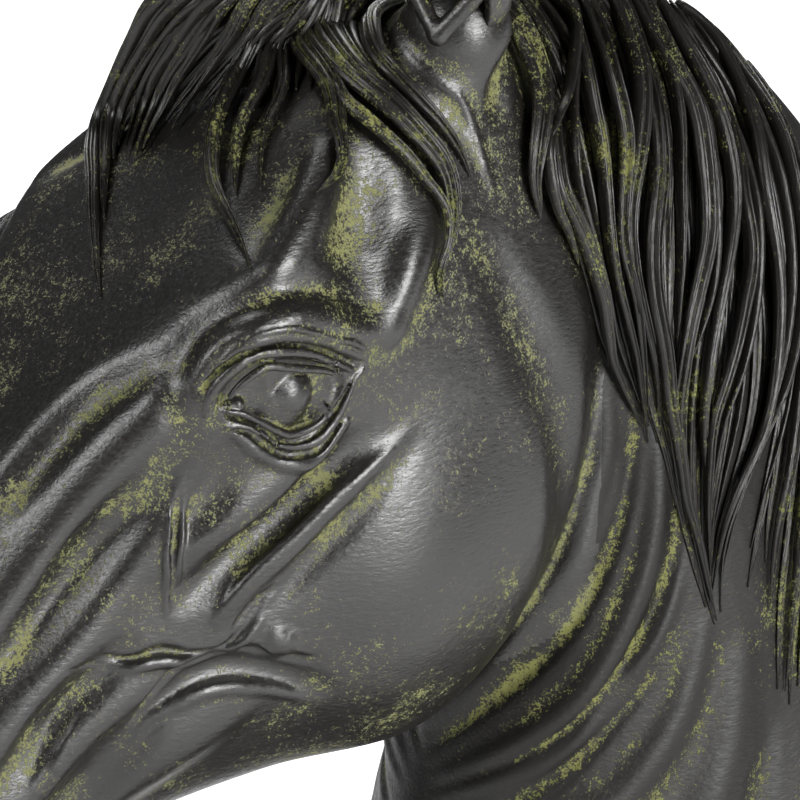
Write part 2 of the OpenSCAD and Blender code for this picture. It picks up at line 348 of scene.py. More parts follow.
def averaged(values, edges, rounds):
    """Values smoothed over the mesh's edges."""
    n = len(values)
    count = np.bincount(edges.ravel(), minlength=n)[:, None] + 1e-9
    v = np.array(values, float).reshape(n, -1)
    for _ in range(rounds):
        total = np.column_stack([
            np.bincount(edges[:, 0], v[edges[:, 1], k], n) + np.bincount(edges[:, 1], v[edges[:, 0], k], n)
            for k in range(v.shape[1])
        ])
        v = 0.5 * v + 0.5 * total / count
    return v


# ---------- strokes on the clay ----------
STROKES = []


def put(clay, points, radii, soft, cut=False):
    """A tube that is also kept, to be drawn again on finer clay."""
    STROKES.append((points, radii, soft, cut))
    clay.tube(points, radii, soft, cut)


def stroke(clay, path, radius, rise, soft, cut=False, taper=0.35, face=True):
    """A ridge that stands rise above the surface, or a groove sunk rise into it, fading at its ends."""
    start = placed(path) if face else np.array(path, float)
    points = clay.snapped(evenly(curve(start, 60), 32))
    swell = np.sin(math.pi * np.linspace(0, 1, len(points))) ** 0.6
    radii = radius * (taper + (1 - taper) * swell)
    lift = rise * swell - 0.4 * soft * (1 - swell)
    points = points + clay.slope(points) * ((radii - lift) * (1 if cut else -1))[:, None]
    put(clay, points, radii, soft, cut)


def sculpt(clay, forms, taper=0.35, face=True):
    """Strokes from lines: radius, rise (a cut is below 0), softness, perhaps a taper, then the points."""
    for form in forms:
        (radius, rise, soft, *own), path = parsed(form)
        stroke(clay, path, radius, abs(rise), soft, rise < 0, own[0] if own else taper, face)


def replay(clay, strokes):
    for points, radii, soft, cut in strokes:
        clay.tube(points, radii, soft, cut)


# ---------- the head and the neck ----------
STEP = 0.8
# The block of clay for the left half
BLOCK_LOW, BLOCK_HIGH = [0, -216, 34], [52, 92, 352]
EYE = [70, 22.5, 33]
CORNEA = [68.8, 23, 36]
EYEBALL_RADIUS = 9.2
CORNEA_RADIUS = 5.4
SOCKET_TUBES = 34
EAR_ROOT = np.array([22, POLL[1] + 12, POLL[2] - 5])


def build_clay():
    """The head and the neck, melted together."""
    bust, neck = [
        Clay(BLOCK_LOW, BLOCK_HIGH, STEP).fill_from_skin(*closed_skin(rings), band=7)
        for rings in (head_rings(120, 96), neck_rings(100, 96))
    ]
    bust.d = soft_min(bust.d, neck.d, 3.0)
    return bust


# Bones and muscles: the wide, soft shapes.
BIG_FORMS = lines_in("""
# The rim of the orbit, with a hollow round it and another inside it
4.5 -1.6 3: 49.5 23 39.5,54 13.5 41,58.5 7.5 41,65 4 39,72.5 3 35.5,80 5.5 35,86.5 11 35
3.5 2.2 3: 46 34 39,50 29 39.5,54 21 40.5,58.5 13.5 42.5,64 9 42.5,69 7 41
3.5 1.2 3: 66 8 42,72 6.5 40,78 8.5 37.5,83 11 36.5
2.5 -1.2 2: 80 9 38,73 7.5 41,66 11 42,62 17 42,59 24 41
# Temple ridge, the hollow above the eye and the ridge down the forehead
4 2.4 3: 26 25 33,32 27 35,38 28 37,45 30 38,50 32 39
8 -3.8 4 0.7: 30 12 29,36 14 31,43 17 35,48 21 37
6 -1.4 4 0.7: 35 2 24,46 3 29,54 3 33
3.5 1.6 3: 30 6 27,37 5.5 30.5,48 5 35.5,56 4.5 38.5
# The facial crest, the valley above it and the soft ridge above that
4.5 -3.6 3: 64 41.5 38,82.5 40.5 36.5,95 39 34,107 38 31.5
2.2 2.2 2: 58 48.5 38,66 47.5 38,74 46.5 37,85 46 36,95.5 45 34,106 46 32
3 -0.9 2.5: 60 50 38,72 51 37.5,89.5 51 35,99 51.5 33.5
4 1.6 3: 70 37 38,84 34.5 36,96 31.5 34,106 31 31
4 -1.2 3: 80 21 39,90 24.5 36,98 27 33.5
# Side of the nose: valleys and bands running down the face
5 -2.4 3: 78 3 33,84 3 29,92 3 24,104 4 21,118 6 18
5 2 4: 82 8 34,94 9 30,109 12 25,126 15 22,146 17 20
5 -3 4: 88 16 36,98 18 32,110 20 28,124 23 25,140 24 23
5 1.9 4: 100 25 32,114 27 28,130 29 26,150 31 24,168 31 22
4.5 -2.2 3: 118 37 29,134 36 26,150 38 24
4.5 1.6 3: 120 45 29,136 44 26,152 45 23,170 44 22
# Jaw muscle, the hollow in front of it and the jaw's bar
8 3.2 4: 142 60 18,130 60 22.5,119 62 26,112 64 28
3.2 -2.6 2.5: 126 50 26.5,115.5 51 29.5,108 56 31,102.5 66 32,99 74.5 31
5 -2 4: 126 51 26,140 54 22,156 53 20
6 1.2 4: 148 62 15,160 60 14,175 57 13,188 54 13
# The cheek's disc and the groove behind it
22 2 8 0.8: 62 60 38,74 66 38,84 76 36
6 -1.3 5: 24 40 33,29 54 34,36 74 34,48 92 31,62 105 26
# Muzzle: the bone's end, nostril wings, lips and chin
6 0.8 4: 160 8 10,180 10 11,200 14 13
4 2 2.5: 198 22 22,204 19 19,212 20 18,219 25 19,221 32 20
3.5 1.4 2.5: 200 33 24,209 37 23,218 36 21
5 -1.1 4: 192 24 21,186 30 22,190 38 22
4 1.4 3: 206 42 22,220 42 20,231 41 14,235 40 5
4 1.5 3: 206 54 19,218 54 17,228 52 12,231 51 5
7 1.8 4 0.8: 214 60 6,222 59 7
""")


def ear_root(clay):
    """The swelling that the left ear stands on."""
    root = EAR_ROOT + np.array([[-6, 1, -18], [-3, 0, -9], [-1, 0, -4.5]])
    clay.tube(root, np.array([9.0, 10.0, 9.5]), 8.0)


# Veins, creases, nostrils and lips.
FINE_FORMS = lines_in("""
# The hollow below the ear and the fold beside it
4 -1.6 2 0.7: -3 20 21,1 24 24,5 29 27
0.9 0.7 0.8: 0 12 13,5 17 22,9 24 27,12 30 30,16 37 32
# Nostril
3 -3.4 1.2: 203 27 24,208 26 23,214 28 22,217 32 22,214 34 23
4 -5.5 1.5 0.8: 208 29 22,213 31 21
# Mouth
1.1 -1.3 0.9 0.5: 190 46 21,198 48 20.5,208 48 20,219 48 19,229 47 15,235 45 8,237 44 0
1.3 -0.6 1: 193 43 21,188 46 21,190 51 21
0.9 -0.35 0.9: 209 52 19,211 56 17
1 -0.3 1: 197 30 23,193 38 23
0.9 -0.35 0.9: 215 52 17.5,217 56 15.5
1 -0.3 1: 203 32 23,198 39 23
0.9 -0.35 0.9: 221 52 16,223 56 14
1 -0.3 1: 209 34 23,203 40 23
0.9 -0.35 0.9: 227 52 14.5,229 56 12.5
1 -0.3 1: 215 36 23,208 41 23
# Veins down the cheek
0.9 1.1 0.7: 92 19 35,98 24 33.5,103 29 32,107 34 31,110 38 30
0.8 1 0.7: 93 23 34.5,98 27 33.5,102 31 32,105 35 31
0.9 -0.8 0.6: 93 21 35,99 26 33,104 31 32
1.2 0.9 0.8: 62 47.5 38,74 46 37,85 45.2 36,95.5 44.3 34,105 45 32
1 -0.9 0.8: 93 50 35,99 49 34,105 50 32
# Creases where the jaw muscle meets the nose
1.1 -1.1 0.8: 128 30 26,120 39 29,115 42 30,112 47 30,108 51 31,103 51 33,97 50 34
1.2 0.9 0.8: 126 32 27,119 41 29,115 45 30,111 50 31,105 53 32,98 52 34
1 -0.9 0.7: 127 50 27,121 49 29,115 48 30,109 52 31,105 56 32
1.5 0.9 1: 131 53 26,124 51 28,117 52 30,111 57 31,106 65 31,103 73 30
1.2 -1.1 1: 106 53 32,103 60 33,97 67 34
3 0.9 1.5: 99 56 34,101 61 33
1 -0.3 1.2: 126 36 27,136 37 25,146 40 23.5
1 -0.3 1.2: 130 38 26,140 39.5 24,150 42 22.8
1 -0.3 1.2: 134 40 25,144 42 23,154 44 22.1
1 -0.3 1.2: 138 42 24,148 44.5 22,158 46 21.4
1 -0.3 1.2: 142 44 23,152 47 21,162 48 20.7
""")


# The eye's opening: its upper edge, back to front, and its lower edge.
LID_UP = "79.5 14 39.5,77 13 40,74 12.5 41,71 13 42,69 14 43,66 18.5 42,62.5 24 41,60.5 28.5 40"
LID_LOW = "60.5 28.5 40,65 31 40,68 32 39,71 31 39,74 28.5 39,75.5 25 40,76.5 21 40,77.5 17.5 40,79.5 14.5 39.5"
EYE_LINES = lines_in(f"""
# The pouch, the fold over the eye and its edge
1.6 0.9 1: 81 20.5 39,80.5 25 39,79 29.5 38,77 33.5 38,74 36.5 38,70 37 38,65 36.5 38
1.5 1.1 0.6: 75 7.5 40,70 7.5 41,65 10.5 43,61 16 43,58.5 21 42,56.5 26 40,55.5 30 40
0.8 0.7 0.4: 67 7.5 42,62 11 43,58.5 16 42,56.5 21 41,54.5 26 40,54.5 30 40,56.5 32 40,60 31 40
# The lids' bands and rims
1 0.8 0.5: 81 17 39,78.5 21 40,77.5 25 39,75.5 30 39,72 33.5 39,69 34.5 39,65 34 39,60.5 32 39,56.5 31.5 40
1.3 1.1 0.5: 82 12.5 38,79.5 10.5 39,76 9.5 40,73 9.5 41,70 10 42,67 12.5 43,62.5 18.5 42,60 25 41,58.5 29.5 40
0.8 0.6 0.4: 65 31 40,68 32 39,71 31 39,74 28.5 39,75.5 25 40,76.5 21 40,77.5 17.5 40,79.5 14.5 39.5
0.8 0.7 0.4: {LID_UP}
# The creases between them
0.9 -1.1 0.4: 80.5 18.5 39,79 22.5 40,78 27 39,77 30.5 39,74 34 38,71 35.6 38,66 35.6 39
0.9 -1.1 0.35: 80 8.7 38.5,75 8.3 40,71 8.7 42,67 10.8 43,63.5 15 43,61 19.5 42,59 24 41,57.5 29 40
0.6 -0.8 0.25: 80 16 40,77.8 19.5 40,77 23.5 40,75.5 28.5 39,73 31.7 39,70 33 39,67 33.2 39,63 32.3 39,
59.5 31 39
0.6 -0.8 0.25: 80.5 13.5 38.5,78 12 39.5,75 11.2 41,71.5 11.3 42,68 13 43,64.5 17.5 43,61.5 22.5 42,59.5 28.5 40
""")


def eye(clay):
    """A socket, the eyeball, and ribs and creases for the lids."""
    held = []
    for line in EYE_LINES:
        (radius, rise, soft), path = parsed(line)
        points = clay.snapped(evenly(curve(placed(path), 40), 30))
        f = np.linspace(0, 1, len(points))
        radii = radius * (0.3 + 0.7 * np.sin(math.pi * f) ** 0.5)
        inward = 1 if rise < 0 else -1
        points = points + clay.slope(points) * ((radii - abs(rise) * radii / radius) * inward)[:, None]
        held.append((points, radii, soft, rise < 0))

    # The socket: an almond cut by a fan of short tubes
    up, low = [evenly(curve(placed(edge), 40), SOCKET_TUBES)
               for edge in (points_of(LID_UP), points_of(LID_LOW)[::-1])]
    for k in range(2, SOCKET_TUBES - 2):
        across = np.array([up[k], 0.5 * (up[k] + low[k]), low[k]]) + [0.5, 0, 0]
        put(clay, across, np.full(3, 1.9), 0.4, cut=True)
    centre = placed([EYE])[0]
    put(clay, np.array([centre - [1.6, 0, 0], centre - [1.5, 0, 0]]), np.full(2, EYEBALL_RADIUS), 0.3)
    cornea = placed([CORNEA])[0]
    put(clay, np.array([cornea, cornea + [0.1, 0, 0]]), np.full(2, CORNEA_RADIUS), 0.5)
    put(clay, placed([[77, 16, 38.8], [79, 14.6, 38.4]]), np.array([1.5, 1.0]), 0.5)
    for line in held:
        put(clay, *line)


# Folds round the jaw and the muscles of the neck, as [x, y, z].
NECK_FORMS = lines_in("""
3.2 2.4 1.8: 29 -23 272,29 -23 258,27 -25 247,25 -27 236,20 -32 225,11 -37 211,0 -42 200
1.6 -1.3 1.2: 31 -18 270,31 -18 256,30 -20 243,27 -24 230,22 -29 218,12 -36 205,0 -41 194
2.6 1.7 1.6: 32 -14 262,32 -13 250,32 -15 236,30 -20 222,26 -27 209,16 -35 198,4 -41 190
1.7 -1.3 1.2: 33 -9 250,33 -10 236,32 -15 222,29 -22 210,24 -31 200,12 -39 192
2.2 1.5 1.3: 33 -9 232,32 -13 221,29 -22 210,26 -29 201,18 -37 194,5 -43 187
1.5 -1.1 1.2: 33 -13 214,30 -21 205,26 -29 196,18 -38 188,5 -45 181
3.5 1.5 2.5: 36 -4 222,35 -10 205,33 -20 192,28 -30 182,18 -42 172
6 1.8 4: 37 4 216,37 0 196,36 -10 176,33 -24 158,24 -42 142
3.5 -1.4 3: 38 10 200,39 2 176,38 -12 152,34 -30 130,26 -48 112
12 1.6 7 0.7: 30 30 236,35 24 196,41 16 150,44 6 100,43 -4 60
4 -1.3 4: 31 42 190,34 38 150,38 32 110,41 24 66
10 1.5 6 0.7: 23 58 190,25 60 150,30 58 100,35 52 60
# The windpipe and the grooves beside it
9 2 5 0.8: 0 -44 186,0 -54 150,0 -62 110,0 -68 70
4 -1.5 4: 17 -42 180,20 -50 150,23 -56 110,26 -60 66
7 1.4 5 0.6: 30 -26 190,33 -36 156,36 -44 116,37 -50 70
""")


clay = build_clay()
sculpt(clay, BIG_FORMS)
ear_root(clay)
before = Clay(BLOCK_LOW, BLOCK_HIGH, STEP)
before.d = clay.d.copy()
STROKES.clear()
sculpt(clay, FINE_FORMS)
eye(clay)
sculpt(clay, NECK_FORMS, 0.3, face=False)
# Zones of closer detail: centre, half size, grid step, splits
zones = []
for centre, half, step, levels in ((placed([[70, 22, 38]])[0], [10, 17, 17], 0.2, 2),
                                   (placed([[112, 44, 30]])[0], [11, 26, 26], 0.3, 1)):
    zone = Clay(centre - half, centre + half, step).fill_from(before)
    replay(zone, STROKES)
    zones.append((zone, levels))


def whole(half_clay):
    """The clay with its mirror image."""
    both = Clay(BLOCK_LOW, BLOCK_HIGH, STEP)
    both.low = half_clay.low.copy()
    both.low[0] = -half_clay.step * (half_clay.shape[0] - 1)
    both.d = np.ascontiguousarray(np.concatenate([half_clay.d[:0:-1], half_clay.d]))
    both.shape = both.d.shape
    return both


bust = whole(clay)
points, faces = bust.mesh()
edges = edges_of(faces)
for _ in range(2):
    moved = averaged(points, edges, 1)
    points = bust.snapped(moved, rounds=2)


def folded(points):
    """Points with their mirror images brought to the left side, and each one's side."""
    side = np.where(points[:, :1] < 0, -1.0, 1.0)
    side = np.hstack([side, np.ones((len(points), 2))])
    return points * side, side


def in_zone(zone, points, margin):
    p = folded(points)[0]
    high = zone.low + (np.array(zone.shape) - 1) * zone.step
    return ((p > zone.low + margin) & (p < high - margin)).all(1)


def column(items, name, width=3, kind=float):
    """One property of all of a mesh's items, as rows."""
    values = np.zeros(len(items) * width, kind)
    items.foreach_get(name, values)
    return values.reshape(-1, width)


def detailed(points, faces):
    """The bust with its zones split finer and drawn onto their own clay."""
    mesh = bpy.data.meshes.new("bust")
    mesh.from_pydata(points.tolist(), [], faces.tolist())
    bm = bmesh.new()
    bm.from_mesh(mesh)
    for zone, levels in zones:
        for level in range(levels):
            bm.faces.ensure_lookup_table()
            centres = np.array([f.calc_center_median() for f in bm.faces])
            chosen = in_zone(zone, centres, 1.0 + 1.5 * level)
            marked = set()
            for k in np.nonzero(chosen)[0]:
                marked.update(bm.faces[int(k)].edges)
            bmesh.ops.subdivide_edges(bm, edges=list(marked), cuts=1, use_grid_fill=True)
    bmesh.ops.triangulate(bm, faces=[f for f in bm.faces if len(f.verts) > 4])
    bm.to_mesh(mesh)
    bm.free()
    co = column(mesh.vertices, "co")
    for zone, levels in zones:
        near = in_zone(zone, co, 0.8)
        p, side = folded(co[near])
        co[near] = zone.snapped(p, rounds=4) * side
    mesh.vertices.foreach_set("co", co.ravel())
    mesh.update()
    return mesh, co


def linked(name, data):
    """A new object in the scene."""
    thing = bpy.data.objects.new(name, data)
    bpy.context.scene.collection.objects.link(thing)
    return thing


def mesh_from(name, points, *face_groups):
    """A mesh object from points in millimetres and groups of triangles or quads."""
    mesh = bpy.data.meshes.new(name)
    points = np.asarray(points, np.float32) * MM
    groups = [np.asarray(g, np.int32) for g in face_groups if len(g)]
    corners = np.concatenate([g.ravel() for g in groups])
    sizes = np.concatenate([np.full(len(g), g.shape[1], np.int32) for g in groups])
    mesh.vertices.add(len(points))
    mesh.vertices.foreach_set("co", points.ravel())
    mesh.loops.add(len(corners))
    mesh.loops.foreach_set("vertex_index", corners)
    mesh.polygons.add(len(sizes))
    mesh.polygons.foreach_set("loop_start", np.r_[0, np.cumsum(sizes)[:-1]].astype(np.int32))
    mesh.update(calc_edges=True)
    mesh.validate()
    mesh.shade_smooth()
    return linked(name, mesh)


def give(piece, name, values):
    """Stores one number for each vertex, for the materials."""
    attribute = piece.data.attributes.new(name, "FLOAT", "POINT")
    attribute.data.foreach_set("value", np.asarray(values, np.float32))


def finish_piece(piece, material, slot, *nodes):
    piece.data.materials.append(material)
    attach(piece, "root")
    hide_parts(*nodes)


# ---------- locks of hair ----------
def ribbon(path, out, half, thick, strands, rng, weave=0.1):
    """A closed lock: strands side by side, each with its own height, with grooves between them."""
    rows = len(path)
    run = unit(np.gradient(path, axis=0))
    side = unit(np.cross(out, run))
    up = np.cross(run, side)
    columns = strands * 7 + 1
    u = np.linspace(-1, 1, columns)[None]
    f = np.linspace(0, 1, rows)[:, None]
    crown = np.sqrt(np.clip(1 - np.abs(u) ** 2.4, 0, 1))
    level = rng.uniform(-0.35, 0.35, strands)
    height = thick[:, None] * crown * (1 + level[0])
    groove = np.zeros((rows, columns))
    for k in range(1, strands):
        border = -1 + 2 * (k + rng.uniform(-0.2, 0.2)) / strands
        border = border + weave * np.sin(2 * math.pi * (rng.uniform(0.3, 0.8) * f + rng.uniform()))
        s = (u - border) * strands / 0.42
        cutting = np.exp(-(s**2)) * rng.uniform(0.5, 1.0)
        groove += cutting
        height = height + thick[:, None] * crown * (
            (level[k] - level[k - 1]) * 0.5 * (1 + np.tanh(2 * s)) - 0.6 * cutting
        )
    top = path[:, None] + side[:, None] * (u * half[:, None])[..., None] + up[:, None] * height[..., None]
    v = np.linspace(1, -1, 6)[None, 1:-1]
    sunk = np.broadcast_to(-0.45 * thick[:, None], (rows, v.shape[1]))
    under = path[:, None] + side[:, None] * (v * 0.8 * half[:, None])[..., None] + up[:, None] * sunk[..., None]
    ring = np.concatenate([top, under], 1)
    count = ring.shape[1]
    quads = grid_faces(rows, count)
    i = np.arange(1, count - 1)
    zero = np.zeros_like(i)
    last = (rows - 1) * count
    caps = np.vstack([np.column_stack([zero, i + 1, i]), np.column_stack([zero, i, i + 1]) + last])
    shade = np.concatenate([np.clip(groove, 0, 1.2), np.full((rows, v.shape[1]), 1.0)], 1)
    across = np.concatenate([np.broadcast_to(u * half.max(), (rows, columns)), v + np.zeros((rows, 1))], 1)
    along = run_along(path)[:, None] + np.zeros((1, count))
    flow = np.stack([across, along, np.full(across.shape, rng.uniform(0, 50))], -1)
    return ring.reshape(-1, 3), quads, caps, shade.ravel(), flow.reshape(-1, 3)


class Tuft:
    """Locks gathered into one piece."""

    def __init__(self, tree, seed):
        self.tree, self.rng = tree, np.random.default_rng(seed)
        self.points, self.quads, self.caps, self.shade, self.flow, self.painted_shade = [], [], [], [], [], []
        self.count = 0

    def laid(self, points, heights, rows, share=0.0):
        """A path at those heights over the castings, and the way out along it."""
        path = evenly(curve(points, 60), rows)
        ground, normals = np.zeros_like(path), np.zeros_like(path)
        for k, p in enumerate(path):
            place, normal, _, _ = self.tree.find_nearest(Vector(p))
            ground[k], normals[k] = place, normal
        normals, ground = unit(softened(normals, 6)), softened(ground, 6)
        level = np.interp(np.linspace(0, 1, rows), np.linspace(0, 1, len(heights)), heights)
        if share:
            level = level + share * np.maximum(((path - ground) * normals).sum(1), 0)
        return ground + normals * softened(level, 4)[:, None], normals

    def lock(self, points, half, heights, thick=1.6, strands=3, rows=56, twist=0.0, blunt=0.35,
             share=0.0, painted_shade=0.0):
        """Adds a lock; share is how much of its points' own height it keeps, and the last argument is painted
        shade: how much its colour is darkened where it lies low under other locks.
        """
        path, out = self.laid(points, heights, rows, share)
        f = np.linspace(0, 1, rows)
        swell = blunt + (1 - blunt) * np.sin(math.pi * np.clip(f / 0.8, 0, 1) ** 0.8) ** 0.7
        swell = np.where(f > 0.35, np.maximum((1 - f) / 0.65, 0) ** 0.62, swell)
        swell = softened(np.minimum(swell, 1), 6)
        width = np.maximum(half * swell, 0.18)
        if twist:
            run = unit(np.gradient(path, axis=0))
            turn = twist * np.sin(math.pi * (f * 1.3 + self.rng.uniform()))[:, None]
            out = out * np.cos(turn) + np.cross(run, out) * np.sin(turn)
        thickness = np.maximum(thick * swell**0.8, 0.15)
        ring, quads, caps, shade, flow = ribbon(path, out, width, thickness, strands, self.rng)
        self.points.append(ring)
        self.quads.append(quads + self.count)
        self.caps.append(caps + self.count)
        self.shade.append(shade)
        self.flow.append(flow)
        self.painted_shade.append(np.full(len(ring), painted_shade))
        self.count += len(ring)

    def piece(self, name):
        piece = mesh_from(name, np.vstack(self.points), np.vstack(self.quads), np.vstack(self.caps))
        give(piece, "groove", np.concatenate(self.shade))
        # Painted shade of each lock, which darkens the low ones, for the material
        give(piece, "painted_shade", np.concatenate(self.painted_shade))
        flow = piece.data.attributes.new("flow", "FLOAT_VECTOR", "POINT")
        flow.data.foreach_set("vector", np.vstack(self.flow).astype(np.float32).ravel())
        return piece


# The low hair under the locks: guide lines down the left side of the neck, as [x, y, z].
MANE = lines_in("""
6 -34 344,14 -36 336,20 -36 326,25 -34 310,27 -31 296,28 -28 286,29 -24 275,30 -19 266,31 -15 257
5 -28 344,16 -22 326,20 -23 317,24 -23 309,26 -23 299,29 -22 286,30 -18 270,31 -14 256
2 -17 342,6 -9 334,13 -8 325,20 -11 312,23 -14 306,27 -19 296,29 -19 282,31 -15 269,31 -13 257
2 -12 340,9 -6 329,15 -6 321,21 -8 308,27 -13 295,30 -14 281,31 -12 268,32 -9 249,34 -4 226,35 -2 220
0 -4 336,4 1 331,11 2 321,17 4 311,23 2 298,27 -1 286,30 -5 276,31 -8 262,33 -7 240,34 -4 224
0 4 331,6 8 323,11 10 317,17 11 305,22 8 293,27 2 282,30 -2 272,32 -5 256,33 -5 240,34 -3 226
0 8 328,6 11 323,11 16 312,17 15 302,22 15 287,27 14 271,30 10 257,33 3 244,34 -2 232,35 -1 219
1 16 323,5 21 316,10 24 307,15 25 295,20 24 283,25 20 271,28 15 262,32 8 252,34 0 238
8 27 310,14 28 296,20 27 283,24 24 271,28 19 258,31 15 246,33 11 234,35 9 218
14 34 294,22 33 278,27 31 262,31 29 244,35 25 222,37 21 200,38 18 180
16 44 278,25 44 262,30 44 244,35 42 222,38 37 198,40 32 174,41 30 156
18 54 258,27 55 240,33 54 220,38 52 196,41 47 170,43 43 146
20 63 234,28 64 216,34 63 196,39 61 174,43 57 148,45 54 126
20 70 210,29 70 194,36 70 176,41 69 154,44 66 134,46 64 116
""")
# The locks that stand out: half width, height over the neck, strands, points.
MANE_LOCKS = lines_in("""
3.4 2.6 4: 10 -36 345,16 -35 336,20 -36 326,22 -39 318,24 -41 312,24 -42 307,23 -41 300
0.9 4 1: 8 -26 341,12 -22 332,17 -25 326,21 -30 320,23 -36 316,24 -40 311,24 -40 307
1.4 2.2 2: 21 -34 319,24 -38 313,24 -39 308,25 -38 302,25 -36 297,26 -33 291
1.7 2.4 2: 21 -31 319,24 -35 314,25 -36 310,25 -37 305,26 -34 299,27 -31 291,28 -26 279,30 -20 267,31 -16 260
0.9 2.6 1: 10 -25 338,17 -23 326,20 -27 320,23 -31 314,25 -33 307,26 -32 300,27 -30 293,28 -26 285,29 -21 274,
31 -16 263
1.6 3 2: 6 -22 341,12 -20 333,16 -22 326,20 -23 318,24 -23 309,26 -24 299,28 -23 291,29 -20 280,30 -17 269,
31 -15 257
1.5 3.6 2: 3 -18 341,8 -15 334,15 -17 326,19 -17 319,22 -17 311,26 -20 302,27 -21 294,29 -19 286,30 -17 274,
31 -15 260
2.3 3 3: 1 -10 339,6 -7 333,13 -9 325,18 -11 317,23 -15 308,26 -19 299,28 -19 290,30 -17 281,31 -14 270,
31 -13 258
2.1 3.2 3: 2 -5 336,8 -5 330,14 -7 323,19 -8 315,23 -10 305,27 -14 295,29 -15 285,31 -13 274,31 -12 263,
32 -9 249,33 -6 238,34 -2 222
1.4 2.4 2: 2 -2 334,9 -2 327,15 -1 318,19 -2 311,23 -5 301,27 -7 291,30 -9 281,31 -10 266
2.4 3.3 3: 1 2 332,6 1 328,12 0 322,17 2 313,21 1 303,26 -1 292,29 -6 282,31 -9 272,32 -10 261,33 -7 245
1.3 3 1: 5 3 328,14 2 318,17 4 311,21 3 301,26 1 289,29 -3 278,31 -8 268
1.6 2.6 2: 0 6 331,5 6 327,12 8 316,19 9 303,22 7 294,27 1 282,30 -3 272,32 -5 260,33 -4 249,34 -3 236
1.6 2.8 2: 12 14 311,17 13 303,21 11 296,24 10 286,27 6 278,30 2 270,32 -3 260,33 -4 251,33 -4 241,34 -3 230
1.1 2.2 1: 14 15 308,19 14 297,23 12 286,26 9 277,29 5 268,31 0 259,33 -2 248
1.9 3.6 2: 0 12 327,3 17 321,11 18 310,19 16 297,23 16 283,27 14 271,30 9 257,33 3 248,34 -1 239,34 -3 226
1.5 2.4 2: 5 21 317,11 22 306,17 22 294,22 21 282,26 17 270,30 11 259,32 5 249,34 0 239
2 3.2 3: 1 18 322,4 20 319,9 25 307,15 25 295,20 24 283,25 20 271,28 15 262,32 8 252,33 3 242
2 2.8 3: 3 24 315,7 28 308,13 28 296,19 27 284,24 24 271,28 19 259,31 15 247,33 11 235,34 10 222
2.1 2.6 3: 9 30 304,15 30 292,21 27 279,25 24 265,28 21 251,31 17 237,34 15 223,35 13 206
""")


def between(guides, t, rows=30):
    """A path between two neighbouring guides."""
    i = min(int(t), len(guides) - 2)
    f = t - i
    a, b = [evenly(curve(points_of(g), 60), rows) for g in guides[i : i + 2]]
    return a * (1 - f) + b * f


def mane(tree):
    tuft = Tuft(tree, 4)
    rng = tuft.rng

    def filler(low, high, count, half, height, thick, strands, painted_shade=0.0):
        for k in range(count):
            t = low + (k + rng.uniform(0.1, 0.9)) * (high - low) / count
            path = between(MANE, t)[: 30 - rng.integers(0, 5)]
            f = np.linspace(0, 1, len(path))[:, None]
            wave = np.sin(2 * math.pi * (f * rng.uniform(0.7, 1.3) + rng.uniform())) * (1 - 0.7 * f)
            path = path + np.array([[0, 1, 0.3]]) * rng.uniform(0.3, 1.4) * wave
            rise = height + rng.uniform(-0.3, 0.5)
            tuft.lock(path, half * rng.uniform(0.75, 1.25), [rise * 0.3, rise, rise, rise * 0.8, 0.2],
                      thick=thick, strands=strands, twist=0.2, painted_shade=painted_shade)

    last = len(MANE) - 1
    # The low layers get painted shade: their colour is darker the lower they lie under the locks
    filler(0, last, 34, 3.8, 0.0, 1.0, 5, painted_shade=0.9)
    filler(8.5, last, 14, 2.4, 1.8, 2.0, 3, painted_shade=0.3)
    filler(8.7, last, 11, 1.7, 3.2, 2.0, 2)
    filler(0.3, 8, 14, 1.0, 1.2, 1.1, 1, painted_shade=0.4)
    for line in MANE_LOCKS:
        (half, rise, strands), points = parsed(line)
        tuft.lock(points, half, [0.5, rise, rise, rise * 0.85, 0.5], thick=1.2 + half * 0.45,
                  strands=int(strands), rows=72, twist=0.2, blunt=0.55)
    return tuft.piece("mane")


# The forelock's raised mass: guide lines over the brow, as [a, d, w].
FORELOCK = lines_in("""
-4 4 -6,10 -10 -10,24 -13 -14,31 -7 -20,39 -1 -25,46 2 -26,56 0 -13,63 0 -5,70 0 4,75 0 11
-4 4 -3,8 -8 -4,19 -10 -6,26 -8 -12,34 -5 -16,41 0 -20,51 0 -12,60 0 -3,69 0 7
-4 5 0,6 -5 0,15 -7 -2,22 -4 -4,31 -1 -8,42 0 -9,56 0 0
-4 6 2,6 -2 2,14 -3 0,20 0 -2,30 1 0,38 1 4,46 1 12
-4 6 3,6 1 4,12 2 4,18 4 2,26 3 6,33 2 12,41 1 16
-4 7 4,5 3 6,10 5 8,15 6 8,20 5 14,27 5 21,33 6 26
""")
# Its free locks: half width, height over the brow, strands, points.
FORELOCK_LOCKS = lines_in("""
2.2 2.6 3: -2 7 2,8 0 2,17 3 -2,22 3 -3,30 2 1,38 1 6,46 1 14,51 1 23,55 2 31,58 3 36
2.4 2.4 3: -2 7 3,8 2 3,17 5 -2,26 3 6,35 2 10,41 1 15,47 1 21
1.6 2 2: 0 8 3,9 5 4,14 6 -3,25 3 11,33 2 15,40 2 20,44 2 24
2.8 2.8 4: -2 7 4,8 4 5,15 6 4,22 5 20,27 6 25,34 7 31,41 6 33
3.6 3 5: -2 9 4,4 7 0,7 9 -4,17 6 17,19 13 27,20 23 31,24 28 33,29 31 35,34 32 36,37 37 37
1.3 2.6 2: 14 6 10,23 6 23,24 16 31,26 25 33,30 30 35,34 31 36,37 36 37
2 2.8 3: -3 12 6,5 10 12,11 9 18,13 12 24,14 19 28,15 25 30,17 30 31
1.6 2 2: -2 11 4,6 8 6,12 8 13,17 10 21,19 15 26,19 21 30,20 26 32
""")


